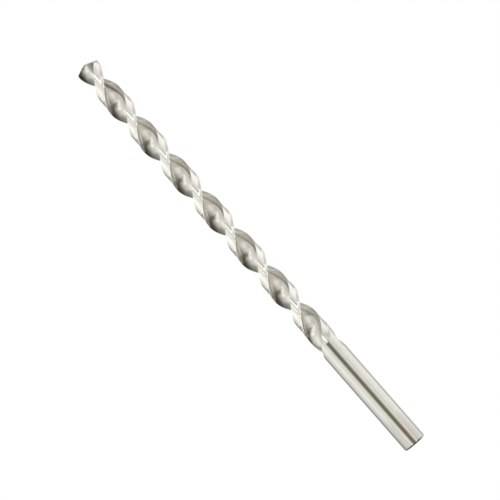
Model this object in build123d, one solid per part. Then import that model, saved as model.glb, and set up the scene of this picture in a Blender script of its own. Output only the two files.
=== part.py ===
"""Long series twist drill bit, 10 mm, right hand, fast helix, split point.

The bar stands on the end of its shank: Z=0 is the shank end face and +Z runs to the tip.
The lips lie along X. Units are millimetres.
"""

import math
import os

from build123d import *

# overall
length = 200.0
diameter = 10.0
shank_diameter = 9.95  # the body tapers back to this from the full diameter at the tip
shank_length = 50.0
shank_round = 0.9  # rounding of the edge of the shank end

# flutes
helix_lead = 39.5
half_web = 1.25
land_angle = 57.0  # leading edge round to heel
heel_radius = 3.07  # where the flute bottom turns up into the heel
heel_undercut = 31.0  # how far that turn sits under the land
flute_wheel = 75.0  # radius of the wheel, which sets how the flutes run out
flute_full_depth = 73.0  # height above which the flutes have their full depth
flute_lift = 70.0  # direction in which the wheel climbs out, from the leading edge
section_step = 2.0

# lands
margin_angle = 5.0
clearance_radius = 4.79
clearance_full = 59.0
clearance_end_angle = 21.4  # where the shoulder of the margin has eased into the clearance
clearance_wheel = 60.0
clearance_lift = 150.0

# point
point_angle = 135.0
relief_angle = 10.5
split_lip = 0.9  # how far out the gash joins the main lip
chisel = 0.24  # what the two gashes leave of the chisel edge
gash_angle = 43.0  # root of the gash from the axis
gash_direction = -88.0  # root of gash 2, seen from the tip

radius = diameter / 2
half_point = math.radians(point_angle / 2)


def polar(r, degrees):
    angle = math.radians(degrees)
    return Vector(r * math.cos(angle), r * math.sin(angle))


def lip_turn(r):
    """Turn of the flute face at radius r that leaves a straight lip on the cone of the point."""
    run = math.sqrt(r**2 - half_web**2)
    drop = run / math.tan(half_point)
    return math.degrees(math.asin(half_web / r)) + 360 * drop / helix_lead


def flute_face_point(r):
    return polar(r, lip_turn(r) - lip_turn(radius))


def flute_section():
    """Flute 1, from the leading edge of its own land at 0 degrees to the heel of the other."""
    heel = polar(clearance_radius, 180 - land_angle)
    crease = polar(heel_radius, 180 - land_angle + heel_undercut)
    over_heel = heel + (heel - crease) * 0.35
    over_lip = flute_face_point(1.06 * radius)
    lip_side = Spline(over_lip, *[flute_face_point(k * radius) for k in (1.0, 0.8, 0.62, 0.46)])
    bottom = Spline(lip_side @ 1, crease, tangents=[lip_side % 1, Vector(-1, 0.3)])
    heel_wall = Line(crease, over_heel)
    outside = ThreePointArc(over_heel, polar(1.3 * radius, 60), over_lip)
    return make_face([lip_side, bottom, heel_wall, outside])


def clearance_section():
    """Relief of the land behind the margin, on the far side of flute 1."""
    start = polar(clearance_radius, 180 - land_angle - 12)
    eased = polar(clearance_radius, 180 - clearance_end_angle)
    step = polar(radius, 180 - margin_angle)
    around = [Vector(-p.Y, p.X).normalized() for p in (start, eased)]
    shoulder_end = TangentArc(eased, step, tangent=around[1]) % 1
    floor = Spline(start, eased, step, tangents=[around[0], shoulder_end])
    lead_out = Line(step, step + shoulder_end * 0.4)
    outer_start = polar(1.08 * radius, 180 - land_angle - 12)
    outer_end = lead_out @ 1
    top = ThreePointArc(outer_end, polar(1.1 * radius, 145), outer_start)
    return make_face([floor, lead_out, top, Line(outer_start, start)])


def wheel_lift(z, full, wheel):
    """How far a wheel of this radius has climbed out of the bar below the full depth."""
    below = max(0.0, full - z)
    return wheel - math.sqrt(wheel**2 - below**2)


def helical_cutter(section, bottom, full, wheel, direction):
    count = math.ceil((length + 6 - bottom) / section_step)
    sections = []
    for i in range(count + 1):
        z = bottom + (length + 6 - bottom) * i / count
        offset = polar(wheel_lift(z, full, wheel), direction)
        turn = 360 * (z - corner_height) / helix_lead + corner_angle
        sections.append(Pos(0, 0, z) * Rot(0, 0, turn) * Pos(offset.X, offset.Y, 0) * section)
    return loft(sections)


# The lips lie along X, so the outer corner of lip 1 stands half a web ahead of it.
relief_slope = math.tan(math.radians(relief_angle)) / math.sin(half_point)
corner_angle = math.degrees(math.asin(half_web / radius))
lip_height = length + half_web * relief_slope
corner_height = lip_height - math.sqrt(radius**2 - half_web**2) / math.tan(half_point)


def flank_point(x, y):
    """A point of flank 1, which falls away from lip 1 both outwards and behind it."""
    return Vector(x, y, lip_height - x / math.tan(half_point) - (half_web - y) * relief_slope)


def bar_end(r, z):
    """A disc edged by three arcs, so the wall of the bar is three faces with no seam to cut across."""
    arcs = [ThreePointArc(polar(r, a), polar(r, a + 60), polar(r, a + 120)) for a in (0, 120, 240)]
    return Pos(0, 0, z) * make_face(arcs)


# blank
shank = extrude(bar_end(shank_diameter / 2, 0), shank_length)
shank = fillet(shank.faces().sort_by(Axis.Z)[0].edges(), shank_round)
body = loft([bar_end(shank_diameter / 2, shank_length), bar_end(radius, length + 2)])
blank = shank + body

# flutes and body clearance
flute = helical_cutter(flute_section(), 46, flute_full_depth, flute_wheel, flute_lift)
clearance = helical_cutter(clearance_section(), 52, clearance_full, clearance_wheel, clearance_lift)

drill = blank - [flute, Rot(0, 0, 180) * flute]
drill = drill - [clearance, Rot(0, 0, 180) * clearance]

# point: two flat flanks, then a gash on each side that thins the web and splits the chisel edge
lip_direction = flank_point(1, half_web) - flank_point(0, half_web)
behind = flank_point(0, half_web - 1) - flank_point(0, half_web)
flank_plane = Plane(flank_point(0, 0), x_dir=lip_direction, z_dir=behind.cross(lip_direction))
flank_waste = flank_plane * Pos(0, 0, 5) * Box(30, 30, 10)

# the root of gash 2 starts at one end of the chisel edge
root_slope = math.radians(gash_angle)
root = polar(math.sin(root_slope), gash_direction) - Vector(0, 0, math.cos(root_slope))
chisel_turn = math.atan2(math.tan(math.radians(relief_angle)), math.cos(half_point))
gash_start = Vector(0, 0, length) - Vector(math.sin(chisel_turn), math.cos(chisel_turn)) * chisel / 2
gash_plane = Plane(gash_start, z_dir=root)


def gash_wall(point):
    """Direction, across the gash, of its wall through this point."""
    across = gash_plane.to_local_coords(point)
    return Vector(across.X, across.Y).normalized()


heel = polar(clearance_radius, corner_angle - land_angle)
split_wall = gash_wall(flank_point(split_lip, half_web).rotate(Axis.Z, 180))
heel_wall = gash_wall(flank_point(heel.X, heel.Y))
gash_face = make_face(Polyline(Vector(0, 0), split_wall * 9, heel_wall * 9, close=True))
gash = extrude(gash_plane * Pos(0, 0, -3) * gash_face, 12)
for turn in (0, 180):
    drill = drill - Rot(0, 0, turn) * flank_waste
for turn in (0, 180):
    drill = drill - Rot(0, 0, turn) * gash

os.makedirs("parts", exist_ok=True)
export_step(drill, "parts/drill_bit.step")
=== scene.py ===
"""Dresses the long twist drill bit: a finely modelled ground steel bar, a pale floor and soft studio light."""

import math
from types import SimpleNamespace

import bmesh
import bpy
import numpy as np
from mathutils import Matrix, Vector


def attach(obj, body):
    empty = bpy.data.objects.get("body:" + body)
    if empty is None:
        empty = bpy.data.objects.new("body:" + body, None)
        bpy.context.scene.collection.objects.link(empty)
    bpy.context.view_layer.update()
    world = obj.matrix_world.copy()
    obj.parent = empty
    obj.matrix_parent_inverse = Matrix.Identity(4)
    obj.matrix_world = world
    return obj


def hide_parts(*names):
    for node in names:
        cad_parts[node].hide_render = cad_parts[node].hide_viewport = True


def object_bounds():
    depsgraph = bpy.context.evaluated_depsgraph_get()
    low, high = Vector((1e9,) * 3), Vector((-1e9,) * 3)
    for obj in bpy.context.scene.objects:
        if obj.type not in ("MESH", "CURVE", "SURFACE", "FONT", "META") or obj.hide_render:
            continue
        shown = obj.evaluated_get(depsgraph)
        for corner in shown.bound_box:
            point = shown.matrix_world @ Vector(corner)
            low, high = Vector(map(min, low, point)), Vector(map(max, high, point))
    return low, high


bl_info = {
    "name": "Twist drill bit",
    "version": (1, 0, 0),
    "blender": (4, 5, 0),
    "location": "View3D > Sidebar > Drill bit",
    "description": "Models a long twist drill bit and the studio it stands in",
    "category": "Object",
}

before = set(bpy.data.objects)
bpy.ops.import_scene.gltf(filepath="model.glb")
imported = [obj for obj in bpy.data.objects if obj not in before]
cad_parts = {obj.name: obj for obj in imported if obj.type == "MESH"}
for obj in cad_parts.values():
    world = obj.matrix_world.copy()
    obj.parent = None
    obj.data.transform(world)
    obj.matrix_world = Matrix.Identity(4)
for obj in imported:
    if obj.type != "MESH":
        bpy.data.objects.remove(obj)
cad_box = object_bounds()

MM = 0.001


class DrillSizes(bpy.types.PropertyGroup):
    """Sizes of the drill bit."""

    length: bpy.props.FloatProperty(
        name="Length", description="Shank end to tip", default=200 * MM, unit="LENGTH"
    )
    diameter: bpy.props.FloatProperty(
        name="Diameter", description="Across the margins at the tip", default=10 * MM, unit="LENGTH"
    )
    shank_diameter: bpy.props.FloatProperty(
        name="Shank diameter", description="The body tapers back to this from the tip", default=9.95 * MM, unit="LENGTH"
    )
    shank_length: bpy.props.FloatProperty(
        name="Shank length", description="Height at which the taper starts", default=50 * MM, unit="LENGTH"
    )
    shank_round: bpy.props.FloatProperty(
        name="Shank rounding", description="Rounding of the edge of the shank end", default=0.9 * MM, unit="LENGTH"
    )
    helix_lead: bpy.props.FloatProperty(
        name="Helix lead", description="Length of one turn of a flute", default=39.5 * MM, unit="LENGTH"
    )
    half_web: bpy.props.FloatProperty(
        name="Half web", description="Half the thickness of the core", default=1.25 * MM, unit="LENGTH"
    )
    land_angle: bpy.props.FloatProperty(
        name="Land angle", description="Leading edge round to heel", default=math.radians(57), subtype="ANGLE"
    )
    heel_radius: bpy.props.FloatProperty(
        name="Heel turn radius", description="Where the flute turns up into the heel", default=3.07 * MM, unit="LENGTH"
    )
    heel_undercut: bpy.props.FloatProperty(
        name="Heel undercut",
        description="How far that turn sits under the land",
        default=math.radians(31),
        subtype="ANGLE",
    )
    heel_fillet: bpy.props.FloatProperty(
        name="Heel fillet", description="Radius of that turn", default=0.15 * MM, unit="LENGTH"
    )
    flute_wheel: bpy.props.FloatProperty(
        name="Flute wheel", description="Radius of the wheel that runs each flute out", default=75 * MM, unit="LENGTH"
    )
    flute_full_depth: bpy.props.FloatProperty(
        name="Flute full depth", description="Height above which the flutes are full", default=73 * MM, unit="LENGTH"
    )
    flute_lift: bpy.props.FloatProperty(
        name="Flute lift",
        description="Direction in which the wheel climbs out, from the leading edge",
        default=math.radians(70),
        subtype="ANGLE",
    )
    margin_angle: bpy.props.FloatProperty(
        name="Margin angle", description="Width of each margin", default=math.radians(5), subtype="ANGLE"
    )
    clearance_radius: bpy.props.FloatProperty(
        name="Clearance radius", description="Radius of the relieved land", default=4.79 * MM, unit="LENGTH"
    )
    clearance_end_angle: bpy.props.FloatProperty(
        name="Clearance end",
        description="Where the shoulder of the margin has eased into the relief",
        default=math.radians(21.4),
        subtype="ANGLE",
    )
    clearance_wheel: bpy.props.FloatProperty(
        name="Clearance wheel", description="Radius of the wheel that relieves the land", default=60 * MM, unit="LENGTH"
    )
    clearance_full: bpy.props.FloatProperty(
        name="Clearance full", description="Height above which the relief is full", default=59 * MM, unit="LENGTH"
    )
    point_angle: bpy.props.FloatProperty(
        name="Point angle", description="Included angle of the lips", default=math.radians(135), subtype="ANGLE"
    )
    relief_angle: bpy.props.FloatProperty(
        name="Relief angle",
        description="Fall of each flank behind its lip",
        default=math.radians(10.5),
        subtype="ANGLE",
    )
    split_lip: bpy.props.FloatProperty(
        name="Split lip", description="How far out each gash joins the main lip", default=0.9 * MM, unit="LENGTH"
    )
    chisel: bpy.props.FloatProperty(
        name="Chisel edge", description="What the two gashes leave of the chisel edge", default=0.24 * MM, unit="LENGTH"
    )
    gash_angle: bpy.props.FloatProperty(
        name="Gash angle", description="Root of each gash from the axis", default=math.radians(43), subtype="ANGLE"
    )
    gash_direction: bpy.props.FloatProperty(
        name="Gash direction",
        description="Way the root of gash 2 runs, seen from the tip",
        default=math.radians(-88),
        subtype="ANGLE",
    )


class DrillColours(bpy.types.PropertyGroup):
    """Colours of the ground steel; the point's colour is darkened with painted shade."""

    land: bpy.props.FloatVectorProperty(
        name="Land", description="Lands, margins and shank", default=(0.90, 0.885, 0.85), subtype="COLOR"
    )
    flute: bpy.props.FloatVectorProperty(
        name="Flute", description="Inside of the flutes", default=(0.82, 0.80, 0.755), subtype="COLOR"
    )
    # the point is darkened with painted shade, for flanks and gashes that sit in shadow at the tip
    point: bpy.props.FloatVectorProperty(
        name="Point", description="Flanks and gashes of the point", default=(0.46, 0.46, 0.42), subtype="COLOR"
    )


def drawing_sizes(group):
    """The sizes as a drawing gives them: lengths in millimetres and angles in degrees."""
    values = {}
    for name in DrillSizes.__annotations__:
        value = getattr(group, name)
        is_angle = group.bl_rna.properties[name].subtype == "ANGLE"
        # rounded, because a property only holds about seven digits
        values[name] = round(math.degrees(value) if is_angle else value / MM, 4)
    size = SimpleNamespace(**values)
    size.radius = size.diameter / 2
    size.shank_radius = size.shank_diameter / 2
    return size


# ---- the bar: lengths in millimetres and angles in degrees, from here to its cutters ----

LIP_CURVE_START = 1.06  # the lip-side curve runs from here to its end, in shares of the radius
LIP_CURVE_END = 0.46
BOTTOM_WAY = (-1.0, 0.3)  # direction of the flute bottom where it reaches the turn under the heel
HEEL_OVERRUN = 0.9  # how far the heel wall is drawn past the heel
FLUTE_COLUMNS = 96
LAND_STEPS = (10, 12, 12, 5, 16)  # columns in each stretch of a land, from its heel to its leading edge
BEND_WEIGHT = 1.2  # how strongly the flute's columns gather where it bends
HEEL_SIDE = 100.0  # crossings of a flute with the land beyond this angle belong to the heel
TAPER_OVERRUN = 2.0  # how far above the tip the back taper would reach the full diameter
PLAIN_TOP = 46.0  # the bar is plain and round below this height
WASTE_TOP = 3.0  # how far above the tip the unground bar reaches
ROW_TURN = 4.0  # turn of the helix from one row to the next
ROUND_STEPS = (0, 15, 30, 45, 60, 75, 90)
SHANK_HEIGHTS = (16.0, 31.0)
SHANK_ROWS = len(ROUND_STEPS) + len(SHANK_HEIGHTS)


def polar(r, degrees):
    angle = np.radians(degrees)
    return np.stack([r * np.cos(angle), r * np.sin(angle)], axis=-1)


def unit(vector):
    return vector / np.linalg.norm(vector)


def wheel_lift(wheel, drop):
    """How far a wheel has climbed out at this depth below the height where it cuts fully."""
    drop = max(0.0, drop)
    return wheel - math.sqrt(wheel**2 - drop**2)


def heel_turn(size):
    """The turn under the heel, where the flute bottom meets the heel wall."""
    return polar(size.heel_radius, 180 - size.land_angle + size.heel_undercut)


def flute_curve(size):
    """Flute 1 from outside its leading edge, which is at 0 degrees, to outside the heel."""
    half_point = math.radians(size.point_angle / 2)

    def lip_turn(r):
        """Turn of the flute face at radius r that leaves a straight lip on the point."""
        run = np.sqrt(r**2 - size.half_web**2)
        return np.degrees(np.arcsin(size.half_web / r)) + 360 * run / math.tan(half_point) / size.helix_lead

    r = np.linspace(LIP_CURVE_START * size.radius, LIP_CURVE_END * size.radius, 160)
    face = polar(r, lip_turn(r) - lip_turn(size.radius))
    heel = polar(size.clearance_radius, 180 - size.land_angle)
    crease = heel_turn(size)
    # the bottom is one smooth curve from the lip side to the turn under the heel
    end, way, out = face[-1], unit(face[-1] - face[-2]), unit(np.array(BOTTOM_WAY))
    third = np.linalg.norm(crease - end) / 3
    t = np.linspace(0, 1, 240)[1:, None]
    bottom = (
        (1 - t) ** 3 * end
        + 3 * (1 - t) ** 2 * t * (end + way * third)
        + 3 * (1 - t) * t**2 * (crease - out * third)
        + t**3 * crease
    )
    # fillet between the bottom and the heel wall
    wall_way = unit(heel - crease)
    turn = math.acos(float(np.clip(out @ wall_way, -1, 1)))
    set_back = size.heel_fillet * math.tan(turn / 2)
    first, last = crease - out * set_back, crease + wall_way * set_back
    normal = np.array([out[1], -out[0]])
    if normal @ wall_way < 0:
        normal = -normal
    a = np.linspace(0, turn, 40)[1:-1, None]
    fillet = first + size.heel_fillet * (normal * (1 - np.cos(a)) + out * np.sin(a))
    keep = np.linalg.norm(bottom - crease, axis=1) > set_back
    wall = last + (heel + wall_way * HEEL_OVERRUN - last) * np.linspace(0, 1, 120)[:, None]
    return np.vstack([face, bottom[keep], first[None], fillet, wall])


def pick_columns(curve):
    """Columns spread along the flute by how far and how fast it bends."""
    steps = np.diff(curve, axis=0)
    way = np.unwrap(np.arctan2(steps[:, 1], steps[:, 0]))
    bend = np.abs(np.diff(way, prepend=way[0]))
    weight = np.cumsum(np.r_[0, np.linalg.norm(steps, axis=1) + bend * BEND_WEIGHT])
    return np.searchsorted(weight, np.linspace(0, weight[-1], FLUTE_COLUMNS)).clip(0, len(curve) - 1)


def land_radius(size, angle, z):
    """Radius of land 2 at height z and at an angle round from its leading edge, negative towards its heel."""
    tapered = max(0.0, z - size.shank_length) / (size.length + TAPER_OVERRUN - size.shank_length)
    full = size.shank_radius + (size.radius - size.shank_radius) * tapered
    back = -np.asarray(angle, float)
    # the shoulder of the margin eases into the relief as a curve tangent to it
    eased = size.clearance_end_angle
    share = np.clip((eased - back) / (eased - size.margin_angle), 0, 1)
    relieved = size.clearance_radius + (size.radius - size.clearance_radius) * share**2
    relieved = relieved + wheel_lift(size.clearance_wheel, size.clearance_full - z)
    return np.where(back < size.margin_angle, full, np.minimum(relieved, full))


def flute_outline(size, curve, picks, z):
    """The part of flute 1 inside the bar at height z, and the angles of its leading edge and its heel."""
    lift = wheel_lift(size.flute_wheel, size.flute_full_depth - z)
    moved = curve + lift * polar(1.0, size.flute_lift)
    r = np.linalg.norm(moved, axis=1)
    angle = np.degrees(np.arctan2(moved[:, 1], moved[:, 0])) % 360
    at_heel = angle > HEEL_SIDE
    limit = np.where(at_heel, land_radius(size, np.where(at_heel, angle - 180, 0), z), land_radius(size, 0, z))
    inside = np.nonzero(r < limit)[0]
    if len(inside) < 3:
        # the flute has run out, so its columns meet in one point of the round bar
        nearest = angle[int(np.argmin(r - limit))]
        point = polar(float(land_radius(size, 0, z)), nearest)
        return np.repeat(point[None], len(picks), axis=0), nearest, nearest

    def crossing(i, j):
        """Where the curve crosses the land between its points i and j."""
        if not 0 <= min(i, j) <= max(i, j) < len(moved):
            return moved[max(0, min(i, j))]
        before, after = r[i] - limit[i], r[j] - limit[j]
        return moved[i] + (moved[j] - moved[i]) * before / (before - after)

    first, last = inside[0], inside[-1]
    lead, heel = crossing(first - 1, first), crossing(last, last + 1)
    flute = moved[picks].copy()
    flute[picks < first] = lead
    flute[picks > last] = heel
    flute[0], flute[-1] = lead, heel
    return flute, math.degrees(math.atan2(lead[1], lead[0])), math.degrees(math.atan2(heel[1], heel[0])) % 360


def section(size, curve, picks, z):
    """The outline of the bar at height z before it is turned, as columns in a fixed order."""
    flute, lead_angle, heel_angle = flute_outline(size, curve, picks, z)
    # land 2, from the heel just found round to the leading edge of flute 2
    marks = [
        heel_angle, 180 - size.land_angle, 180 - size.clearance_end_angle, 180 - size.margin_angle,
        180.0, 180 + lead_angle,
    ]
    stretches = [
        np.linspace(max(start, heel_angle), max(end, heel_angle), count, endpoint=False)
        for start, end, count in zip(marks, marks[1:], LAND_STEPS)
    ]
    angles = np.concatenate(stretches)[1:]
    half = np.vstack([flute, polar(land_radius(size, angles - 180, z), angles)])
    return np.vstack([half, -half])


def flank_point(size, x, y):
    """A point of flank 1, which falls away from lip 1 both outwards and behind it."""
    half_point = math.radians(size.point_angle / 2)
    slope = math.tan(math.radians(size.relief_angle)) / math.sin(half_point)
    lip_height = size.length + size.half_web * slope
    return Vector((x, y, lip_height - x / math.tan(half_point) - (size.half_web - y) * slope))


def outer_corner(size):
    """Angle and height of the outer corner of lip 1, which stands half a web ahead of the X axis."""
    half_point = math.radians(size.point_angle / 2)
    lip_height = flank_point(size, 0, size.half_web).z
    height = lip_height - math.sqrt(size.radius**2 - size.half_web**2) / math.tan(half_point)
    return math.degrees(math.asin(size.half_web / size.radius)), height


def bar_rings(size):
    """Rings of points up the bar, as (ring, column, xyz)."""
    curve = flute_curve(size)
    picks = pick_columns(curve)
    corner_angle, corner_height = outer_corner(size)
    top = size.length + WASTE_TOP
    rows = math.ceil((top - PLAIN_TOP) / (size.helix_lead * ROW_TURN / 360))
    rings = []
    for z in np.linspace(PLAIN_TOP, top, rows + 1):
        ring = section(size, curve, picks, float(z))
        turn = math.radians(360 * (z - corner_height) / size.helix_lead + corner_angle)
        c, s = math.cos(turn), math.sin(turn)
        rings.append(np.c_[ring @ np.array([[c, s], [-s, c]]), np.full(len(ring), z)])
    way = rings[0][:, :2] / np.linalg.norm(rings[0][:, :2], axis=1)[:, None]
    shank = []
    for lean in np.radians(ROUND_STEPS):
        r = size.shank_radius - size.shank_round * (1 - math.sin(lean))
        shank.append((r, size.shank_round * (1 - math.cos(lean))))
    shank += [(size.shank_radius, z) for z in SHANK_HEIGHTS]
    return np.array([np.c_[way * r, np.full(len(way), z)] for r, z in shank] + rings)


def bar_mesh(size):
    """The round bar with its flutes and lands, before the point is ground."""
    grid = bar_rings(size)
    rows, cols = grid.shape[:2]
    bm = bmesh.new()
    vs = [bm.verts.new(v) for v in grid.reshape(-1, 3) * MM]
    for i in range(rows - 1):
        for j in range(cols):
            k = (j + 1) % cols
            face = bm.faces.new([vs[i * cols + j], vs[i * cols + k], vs[(i + 1) * cols + k], vs[(i + 1) * cols + j]])
            # the first columns of each half are its flute, and the rest is the land
            in_flute = i >= SHANK_ROWS and j % (cols // 2) < FLUTE_COLUMNS - 1
            face.material_index = 1 if in_flute else 0
    bm.faces.new([vs[j] for j in reversed(range(cols))])
    bm.faces.new([vs[(rows - 1) * cols + j] for j in range(cols)])
    bmesh.ops.remove_doubles(bm, verts=bm.verts, dist=1e-6)
    bmesh.ops.dissolve_degenerate(bm, dist=1e-7, edges=bm.edges)
    bmesh.ops.triangulate(bm, faces=[f for f in bm.faces if len(f.verts) > 4])
    bmesh.ops.recalc_face_normals(bm, faces=bm.faces)
    mesh = bpy.data.meshes.new("drill_bar")
    bm.to_mesh(mesh)
    bm.free()
    return mesh


# ---- the point, ground by taking waste away ----

WASTE_SIZE = 12.0
GASH_REACH = 9.0  # how far the walls of a gash spread, and how far its root runs on into the flute
GASH_START = -3.0  # how far before the chisel edge a gash starts, in the air


def waste(name, verts, faces, turn, finishes):
    """A closed block of waste, turned about the axis, whose cut faces take the finish of the point, darkened with
    painted shade.
    """
    bm = bmesh.new()
    vs = [bm.verts.new(Vector(v) * MM) for v in verts]
    for face in faces:
        bm.faces.new([vs[k] for k in face])
    bmesh.ops.recalc_face_normals(bm, faces=bm.faces)
    mesh = bpy.data.meshes.new(name)
    bm.to_mesh(mesh)
    bm.free()
    mesh.transform(Matrix.Rotation(math.radians(turn), 4, "Z"))
    for finish in finishes:
        mesh.materials.append(finish)
    for face in mesh.polygons:
        face.material_index = 2
    obj = bpy.data.objects.new(name, mesh)
    bpy.context.scene.collection.objects.link(obj)
    return obj


def flank_waste(name, size, turn, finishes):
    """The waste above one flat flank."""
    s = WASTE_SIZE
    low = [flank_point(size, x, y) for x, y in ((-s, -s), (s, -s), (s, s), (-s, s))]
    high = [p + Vector((0, 0, s)) for p in low]
    faces = [(0, 1, 2, 3), (4, 5, 6, 7), (0, 1, 5, 4), (1, 2, 6, 5), (2, 3, 7, 6), (3, 0, 4, 7)]
    return waste(name, low + high, faces, turn, finishes)


def gash_waste(name, size, turn, finishes):
    """The wedge that thins the web in front of lip 2 and splits the chisel edge."""
    half_point = math.radians(size.point_angle / 2)
    slope, way = math.radians(size.gash_angle), math.radians(size.gash_direction)
    root = Vector((math.sin(slope) * math.cos(way), math.sin(slope) * math.sin(way), -math.cos(slope)))
    chisel_turn = math.atan2(math.tan(math.radians(size.relief_angle)), math.cos(half_point))
    chisel_way = Vector((-math.sin(chisel_turn), -math.cos(chisel_turn), 0))
    start = chisel_way * size.chisel / 2 + Vector((0, 0, size.length))
    lip = flank_point(size, size.split_lip, size.half_web)
    lip = Vector((-lip.x, -lip.y, lip.z))
    heel = flank_point(size, *polar(size.clearance_radius, outer_corner(size)[0] - size.land_angle))
    walls = []
    for point in (lip, heel):
        across = point - start
        across = across - root * across.dot(root)
        walls.append(across.normalized() * GASH_REACH)
    ends = []
    for along in (GASH_START, GASH_REACH):
        foot = start + root * along
        ends += [foot, foot + walls[0], foot + walls[1]]
    faces = [(0, 1, 2), (3, 4, 5), (0, 1, 4, 3), (1, 2, 5, 4), (2, 0, 3, 5)]
    return waste(name, ends, faces, turn, finishes)


def grind(obj, blocks):
    """Cuts the blocks of waste from the object and removes them."""
    for block in blocks:
        mod = obj.modifiers.new("grind", "BOOLEAN")
        mod.operation = "DIFFERENCE"
        mod.solver = "EXACT"
        mod.object = block
    bpy.context.view_layer.update()
    depsgraph = bpy.context.evaluated_depsgraph_get()
    mesh = bpy.data.meshes.new_from_object(obj.evaluated_get(depsgraph))
    obj.modifiers.clear()
    obj.data = mesh
    for block in blocks:
        bpy.data.objects.remove(block)


# ---- the steel ----

# Tones of the steel, most of them painted shade or painted sheen: (from, to, brightness before, brightness after), in
# millimetres.
SHOULDER_PAINTED_SHADE = (4.80, 4.83, 1.0, 0.93)  # painted shade on the shoulder of the margin, by distance from the axis
MARGIN_PAINTED_SHEEN = (4.93, 4.97, 1.0, 1.08)  # painted sheen on the margin, by distance from the axis
SHANK_TONE = (50.0, 72.0, 0.86, 1.0)  # by height
TURN_PAINTED_SHADE = (0.1, 0.8, 0.66, 1.0)  # painted shade in the turn under the heel, by distance from that turn
TONGUE_PAINTED_SHADE = (2.2, 3.4, 0.5, 1.0)  # painted shade in a tongue below the tip, by that distance, plus a share of the way down from the tip
TONGUE_SHADE_SHARE = 0.16
LIP_PAINTED_SHADE = (3.6, 4.7, 1.0, 0.6)  # painted shade along the lip side, by distance from the axis towards it
CLOUD_TONE = 0.94
MARK_DEPTH = 0.004


def node_adder(tree):
    """A function that adds a node to the tree, and sets or links its inputs."""

    def add(kind, inputs=(), **settings):
        node = tree.nodes.new(kind)
        for key, value in settings.items():
            setattr(node, key, value)
        for key, value in inputs:
            if isinstance(value, bpy.types.NodeSocket):
                tree.links.new(value, node.inputs[key])
            else:
                node.inputs[key].default_value = value
        return node

    return add


def shaded(add, colour, amount, tone):
    """The colour with its brightness changed as the amount goes through the tone's range."""
    start, end, before, after = tone
    share = add(
        "ShaderNodeMapRange",
        (("Value", amount), ("From Min", start), ("From Max", end), ("To Min", before), ("To Max", after)),
        interpolation_type="SMOOTHSTEP",
    )
    scaled = add("ShaderNodeVectorMath", ((0, colour), ("Scale", share.outputs[0])), operation="SCALE")
    return scaled.outputs[0]


def straightened(add, size, place):
    """The place turned back along the helix, so that the leading edge of flute 1 stays at 0 degrees."""
    corner_angle, corner_height = outer_corner(size)
    parts = add("ShaderNodeSeparateXYZ", ((0, place),))
    climb = add("ShaderNodeMath", ((0, parts.outputs["Z"]), (1, corner_height)), operation="SUBTRACT")
    turn = add("ShaderNodeMath", ((0, climb.outputs[0]), (1, -2 * math.pi / size.helix_lead)), operation="MULTIPLY")
    turn = add("ShaderNodeMath", ((0, turn.outputs[0]), (1, math.radians(corner_angle))), operation="SUBTRACT")
    turned = add("ShaderNodeVectorRotate", (("Vector", place), ("Angle", turn.outputs[0])), rotation_type="Z_AXIS")
    return turned.outputs[0]


def land_painted_shade_and_sheen(add, colour, place):
    """Painted shade along the shoulder of the margin, a painted sheen on the margin, and darker on the shank."""
    flat = add("ShaderNodeVectorMath", ((0, place), (1, (1, 1, 0))), operation="MULTIPLY")
    reach = add("ShaderNodeVectorMath", ((0, flat.outputs[0]),), operation="LENGTH")
    height = add("ShaderNodeSeparateXYZ", ((0, place),)).outputs["Z"]
    colour = shaded(add, colour, reach.outputs["Value"], SHOULDER_PAINTED_SHADE)
    colour = shaded(add, colour, reach.outputs["Value"], MARGIN_PAINTED_SHEEN)
    return shaded(add, colour, height, SHANK_TONE)


def flute_painted_shade(add, colour, size, place, straight):
    """Painted shade in the turn under the heel, in a tongue below the tip, and along the lip side."""
    side = add("ShaderNodeSeparateXYZ", ((0, straight),)).outputs["Y"]
    side = add("ShaderNodeMath", ((0, side),), operation="SIGN")
    # flute 2 is laid over flute 1, so that both take the same painted shade
    near = add("ShaderNodeVectorMath", ((0, straight), ("Scale", side.outputs[0])), operation="SCALE")
    near = add("ShaderNodeVectorMath", ((0, near.outputs[0]), (1, (1, 1, 0))), operation="MULTIPLY").outputs[0]
    to_turn = add("ShaderNodeVectorMath", ((0, near), (1, (*heel_turn(size), 0))), operation="DISTANCE")
    to_turn = to_turn.outputs["Value"]
    colour = shaded(add, colour, to_turn, TURN_PAINTED_SHADE)
    height = add("ShaderNodeSeparateXYZ", ((0, place),)).outputs["Z"]
    down = add(
        "ShaderNodeMath", ((0, height), (1, -TONGUE_SHADE_SHARE), (2, TONGUE_SHADE_SHARE * size.length)), operation="MULTIPLY_ADD"
    )
    spread = add("ShaderNodeMath", ((0, to_turn), (1, down.outputs[0])), operation="ADD")
    colour = shaded(add, colour, spread.outputs[0], TONGUE_PAINTED_SHADE)
    ahead = add("ShaderNodeSeparateXYZ", ((0, near),)).outputs["X"]
    return shaded(add, colour, ahead, LIP_PAINTED_SHADE)


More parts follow.
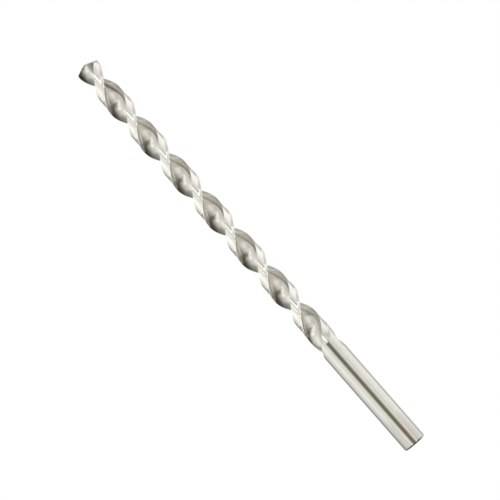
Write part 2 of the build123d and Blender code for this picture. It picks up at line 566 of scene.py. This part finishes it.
def steel(name, size, tone, roughness, grain, zone=""):
    """Bright steel with grinding marks: grain is how fine they are (across, along), per millimetre."""
    mat = bpy.data.materials.new(name)
    mat.use_nodes = True
    links = mat.node_tree.links
    bsdf = mat.node_tree.nodes["Principled BSDF"]
    add = node_adder(mat.node_tree)
    coord = add("ShaderNodeTexCoord").outputs["Object"]
    place = add("ShaderNodeVectorMath", ((0, coord), ("Scale", 1 / MM)), operation="SCALE").outputs[0]
    # the marks in a flute follow the helix
    source = straightened(add, size, place) if zone == "flute" else place
    across, along = grain
    fine = add("ShaderNodeVectorMath", ((0, source), (1, (across, across, along))), operation="MULTIPLY")
    marks = add(
        "ShaderNodeTexNoise", (("Vector", fine.outputs[0]), ("Scale", 1.0), ("Detail", 5.0), ("Roughness", 0.65))
    ).outputs["Fac"]
    cloud = add("ShaderNodeTexNoise", (("Vector", place), ("Scale", 0.35), ("Detail", 3.0))).outputs["Fac"]
    share = add("ShaderNodeMapRange", (("Value", cloud), ("From Min", 0.3), ("From Max", 0.7)))
    dark = tuple(v * CLOUD_TONE for v in tone)
    body = add("ShaderNodeMixRGB", (("Fac", share.outputs[0]), ("Color1", (*dark, 1)), ("Color2", (*tone, 1))))
    colour = body.outputs[0]
    # the lands take painted shade and painted sheen, and the flutes painted shade
    if zone == "land":
        colour = land_painted_shade_and_sheen(add, colour, place)
    if zone == "flute":
        colour = flute_painted_shade(add, colour, size, place, source)
    links.new(colour, bsdf.inputs["Base Color"])
    rough = add(
        "ShaderNodeMapRange",
        (
            ("Value", marks), ("From Min", 0.3), ("From Max", 0.7),
            ("To Min", roughness * 0.8), ("To Max", roughness * 1.25),
        ),
    )
    links.new(rough.outputs[0], bsdf.inputs["Roughness"])
    bump = add("ShaderNodeBump", (("Strength", 0.25), ("Distance", MARK_DEPTH * MM), ("Height", marks)))
    links.new(bump.outputs[0], bsdf.inputs["Normal"])
    bsdf.inputs["Metallic"].default_value = 1.0
    return mat


class DRILL_OT_bar(bpy.types.Operator):
    """Makes the drill bit as one ground bar"""

    bl_idname = "drill.bar"
    bl_label = "Drill bit"

    def execute(self, context):
        size = drawing_sizes(context.scene.drill_sizes)
        colours = context.scene.drill_colours
        finishes = (
            steel("ground_land_painted_shade_and_sheen", size, colours.land, 0.10, (0.4, 22.0), "land"),
            steel("polished_flute_painted_shade", size, colours.flute, 0.22, (9.0, 0.25), "flute"),
            steel("ground_point_painted_shade", size, colours.point, 0.14, (3.0, 16.0)),
        )
        mesh = bar_mesh(size)
        for finish in finishes:
            mesh.materials.append(finish)
        bar = bpy.data.objects.new("ground_bit", mesh)
        context.scene.collection.objects.link(bar)
        blocks = []
        for make, kind in ((flank_waste, "flank_waste"), (gash_waste, "gash_waste")):
            for side, turn in (("a", 0), ("b", 180)):
                blocks.append(make(f"{kind}_{side}", size, turn, finishes))
        grind(bar, blocks)
        bar.data.shade_smooth()
        bar.data.set_sharp_from_angle(angle=math.radians(24))
        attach(bar, "root")
        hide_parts("drill_bit")
        return {"FINISHED"}


# ---- the studio: lengths in metres ----

VIEW_TURN = -80.0  # where the camera stands around the bit, in degrees from +X
TIP_RIGHT, TIP_UP = -0.658, 0.753  # direction in which the tip points in the frame
CAMERA_DISTANCE = 2.0
FRAME_WIDTH = 0.1989258  # how wide the view is at the bit
FRAME_LIFT = 0.0017108  # how far the middle of the view is above the middle of the bit
FLOOR_REACH = 4.0
CARD_DISTANCE = 0.0075  # just clear of the shank, so the flutes above hardly see it
CARD_HALF_WIDTH = 0.0034
CARD_FOOT, CARD_TOP = -0.004, 0.0533
CARD_GLOW = 1.05
CARD_TINT = (1.0, 0.975, 0.86)
# How bright the card is across its width: (millimetres from its middle, brightness).
CARD_MARKS = (
    (-3.4, 1.0), (-2.4, 0.88), (-1.5, 0.42), (-0.8, 0.17), (0.6, 0.17), (1.4, 0.42), (2.5, 0.85), (3.4, 1.0),
)
TENT_TINT = (1.0, 0.985, 0.95)
# How bright the tent is at each height above the level of the eye, in degrees.
TENT_HEIGHTS = (
    (-90, 0.04), (-62, 0.045), (-50, 0.13), (-40, 0.30), (-30, 0.53), (-20, 0.74),
    (-10, 0.84), (15, 0.86), (25, 0.76), (35, 0.66), (42, 0.60), (50, 0.38), (56, 0.50), (90, 0.65),
)
# Panels in the tent: (name, azimuth from, to, softness, height from, to, softness, tilt, colour). The azimuth is
# in degrees from the camera, positive to its right with the bit upright. The colour multiplies the tent's.
TENT_PANELS = (
    ("lamp in front", -38, 28, 6, -7, 10, 4, 0.45, (1.6, 1.6, 1.6)),
    ("lamp above the camera", -5, 60, 8, 36, 43, 3, 0.0, (1.55, 1.52, 1.48)),
    ("lamp at the right", 88, 125, 8, -6, 12, 4, 0.0, (1.25, 1.24, 1.22)),
    ("lamp at the left", -115, -50, 10, 4, 18, 5, 0.0, (1.3, 1.3, 1.3)),
    ("dim right side", 35, 70, 10, 0, 34, 8, 0.0, (0.85, 0.85, 0.85)),
    ("stand of the camera", -13, 24, 4, -50, -14, 5, 0.5, (0.29, 0.27, 0.23)),
    ("right wall", 25, 60, 8, -40, -8, 6, 0.0, (0.80, 0.76, 0.70)),
    ("left wall", -180, -92, 15, -40, -8, 8, 0.0, (0.5, 0.5, 0.46)),
    ("floor", -180, 180, 1, -100, -42, 10, 0.0, (1.0, 1.0, 0.82)),
    ("seam left of the camera", -16, -7, 2, -3, 4, 2, 0.0, (0.35, 0.35, 0.32)),
    ("camera", -7, 13, 2, -2, 2, 2, 0.0, (0.75, 0.75, 0.73)),
    ("seam right of the camera", 15, 23, 2, -4, 9, 3, 0.0, (0.35, 0.35, 0.32)),
    ("right strip", 48, 90, 8, -3, 3, 2, 0.0, (1.3, 1.3, 1.3)),
    ("left strip", -85, -45, 10, -3, 3, 2, 0.0, (1.35, 1.35, 1.35)),
    ("right rear corner", 118, 165, 6, -10, 10, 4, 0.0, (0.7, 0.7, 0.7)),
    ("left rear corner", -155, -118, 6, -10, 10, 4, 0.0, (0.45, 0.45, 0.45)),
)


def glowing_sheet(name, corners, finish):
    """A flat stage sheet with a plain glow: (sheet, function that adds its nodes, node of the glow)."""
    mesh = bpy.data.meshes.new(name)
    mesh.from_pydata(corners, [], [(0, 1, 2, 3)])
    sheet = bpy.data.objects.new(name, mesh)
    bpy.context.scene.collection.objects.link(sheet)
    mat = bpy.data.materials.new(finish)
    mat.use_nodes = True
    mat.node_tree.nodes.clear()
    add = node_adder(mat.node_tree)
    glow = add("ShaderNodeEmission", (("Color", (1, 1, 1, 1)),))
    add("ShaderNodeOutputMaterial", (("Surface", glow.outputs[0]),))
    mesh.materials.append(mat)
    # neither sheet lights or shades anything
    sheet.visible_diffuse = False
    sheet.visible_shadow = False
    return sheet, add, glow


def fill_ramp(ramp, stops, tint):
    """Sets the ramp's stops, given as (position, brightness) in order."""
    elements = ramp.color_ramp.elements
    for position, _ in stops[1:-1]:
        elements.new(position)
    for element, (position, bright) in zip(elements, stops):
        element.position = position
        element.color = (*(bright * part for part in tint), 1)


def dark_card(towards):
    """A card before the shank, dark in its middle, that only the steel sees."""
    side = Vector((0, 0, 1)).cross(towards)
    across, foot, top = side * CARD_HALF_WIDTH, Vector((0, 0, CARD_FOOT)), Vector((0, 0, CARD_TOP))
    corners = [towards * CARD_DISTANCE + p for p in (foot - across, foot + across, top + across, top - across)]
    card, add, glow = glowing_sheet("dark_card", corners, "card_paper")
    card.visible_camera = False
    coord = add("ShaderNodeTexCoord").outputs["Object"]
    width = 2 * CARD_HALF_WIDTH
    share = add("ShaderNodeVectorMath", ((0, coord), (1, side / width)), operation="DOT_PRODUCT")
    share = add("ShaderNodeMath", ((0, share.outputs["Value"]), (1, 0.5)), operation="ADD")
    ramp = add("ShaderNodeValToRGB", ((0, share.outputs[0]),))
    fill_ramp(ramp, [(0.5 + place * MM / width, bright) for place, bright in CARD_MARKS], CARD_TINT)
    glow.id_data.links.new(ramp.outputs["Color"], glow.inputs["Color"])
    glow.inputs["Strength"].default_value = CARD_GLOW


def light_tent(scene, towards):
    """A white tent with darker gaps, seen only in the steel: the camera itself sees plain white."""
    world = bpy.data.worlds.new("studio")
    scene.world = world
    world.use_nodes = True
    world.node_tree.nodes.clear()
    add = node_adder(world.node_tree)
    direction = add("ShaderNodeTexCoord").outputs["Generated"]

    def math_node(operation, *values):
        return add("ShaderNodeMath", enumerate(values), operation=operation).outputs[0]

    def edge(value, start, end):
        inputs = (("Value", value), ("From Min", start), ("From Max", end))
        return add("ShaderNodeMapRange", inputs, interpolation_type="SMOOTHSTEP").outputs["Result"]

    def along(axis):
        return add("ShaderNodeVectorMath", ((0, direction), (1, axis)), operation="DOT_PRODUCT").outputs["Value"]

    up = Vector((0, 0, 1))
    azimuth = math_node("DEGREES", math_node("ARCTAN2", along(up.cross(towards)), along(towards)))
    height = math_node("DEGREES", math_node("ARCSINE", along(up)))
    share = math_node("DIVIDE", math_node("ADD", height, 90.0), 180.0)
    ramp = add("ShaderNodeValToRGB", ((0, share),))
    fill_ramp(ramp, [((level + 90) / 180, bright) for level, bright in TENT_HEIGHTS], TENT_TINT)
    colour = ramp.outputs["Color"]
    for name, left, right, side_soft, low, high, level_soft, tilt, tint in TENT_PANELS:
        level = math_node("SUBTRACT", height, math_node("MULTIPLY", azimuth, tilt))
        share = edge(level, low - level_soft, low + level_soft)
        share = math_node("MULTIPLY", share, edge(level, high + level_soft, high - level_soft))
        share = math_node("MULTIPLY", share, edge(azimuth, left - side_soft, left + side_soft))
        share = math_node("MULTIPLY", share, edge(azimuth, right + side_soft, right - side_soft))
        inputs = (("Fac", share), ("Color1", colour), ("Color2", (*tint, 1)))
        colour = add("ShaderNodeMixRGB", inputs, name=name, blend_type="MULTIPLY").outputs["Color"]
    tent = add("ShaderNodeBackground", (("Color", colour),))
    white = add("ShaderNodeBackground", (("Color", (1, 1, 1, 1)),))
    seen = add("ShaderNodeLightPath").outputs["Is Camera Ray"]
    mix = add("ShaderNodeMixShader", ((0, seen), (1, tent.outputs[0]), (2, white.outputs[0])))
    add("ShaderNodeOutputWorld", (("Surface", mix.outputs[0]),))


def add_camera(scene, towards):
    """A camera level with the bit and turned about its view, so that the tip points to the upper left."""
    data = bpy.data.cameras.new("camera")
    camera = bpy.data.objects.new("camera", data)
    scene.collection.objects.link(camera)
    scene.camera = camera
    data.sensor_width = 36
    data.lens = CAMERA_DISTANCE / FRAME_WIDTH * data.sensor_width
    data.clip_end = 100
    # the camera's Z points back along the view
    z, up = towards, Vector((0, 0, 1))
    y = (up * TIP_UP - up.cross(z) * TIP_RIGHT).normalized()
    place = Matrix((y.cross(z), y, z)).transposed().to_4x4()
    middle = Vector((0, 0, cad_box[1][2] / 2))
    place.translation = middle + y * FRAME_LIFT + towards * CAMERA_DISTANCE
    camera.matrix_world = place


class DRILL_OT_stage(bpy.types.Operator):
    """Makes the floor, the dark card, the light and the camera"""

    bl_idname = "drill.stage"
    bl_label = "Studio"

    def execute(self, context):
        scene = context.scene
        scene.view_settings.view_transform = "Standard"
        s = FLOOR_REACH
        floor, _, _ = glowing_sheet("floor", [(-s, -s, 0), (s, -s, 0), (s, s, 0), (-s, s, 0)], "pale_floor")
        floor.visible_glossy = False
        view = math.radians(VIEW_TURN)
        towards = Vector((math.cos(view), math.sin(view), 0))
        add_camera(scene, towards)
        dark_card(towards)
        light_tent(scene, towards)
        return {"FINISHED"}


class DRILL_PT_panel(bpy.types.Panel):
    """Lists the pieces, sizes and colours of the drill bit"""

    bl_idname = "DRILL_PT_panel"
    bl_label = "Drill bit"
    bl_space_type = "VIEW_3D"
    bl_region_type = "UI"
    bl_category = "Drill bit"

    def draw(self, context):
        scene = context.scene
        for op in (DRILL_OT_stage, DRILL_OT_bar):
            self.layout.operator(op.bl_idname)
        for group in (scene.drill_sizes, scene.drill_colours):
            for name in type(group).__annotations__:
                self.layout.prop(group, name)


CLASSES = (DrillSizes, DrillColours, DRILL_OT_bar, DRILL_OT_stage, DRILL_PT_panel)


def register():
    for cls in CLASSES:
        bpy.utils.register_class(cls)
    bpy.types.Scene.drill_sizes = bpy.props.PointerProperty(type=DrillSizes)
    bpy.types.Scene.drill_colours = bpy.props.PointerProperty(type=DrillColours)


def unregister():
    del bpy.types.Scene.drill_colours
    del bpy.types.Scene.drill_sizes
    for cls in reversed(CLASSES):
        bpy.utils.unregister_class(cls)


def main():
    register()
    bpy.ops.drill.stage()
    bpy.ops.drill.bar()


if __name__ == "__main__":
    main()
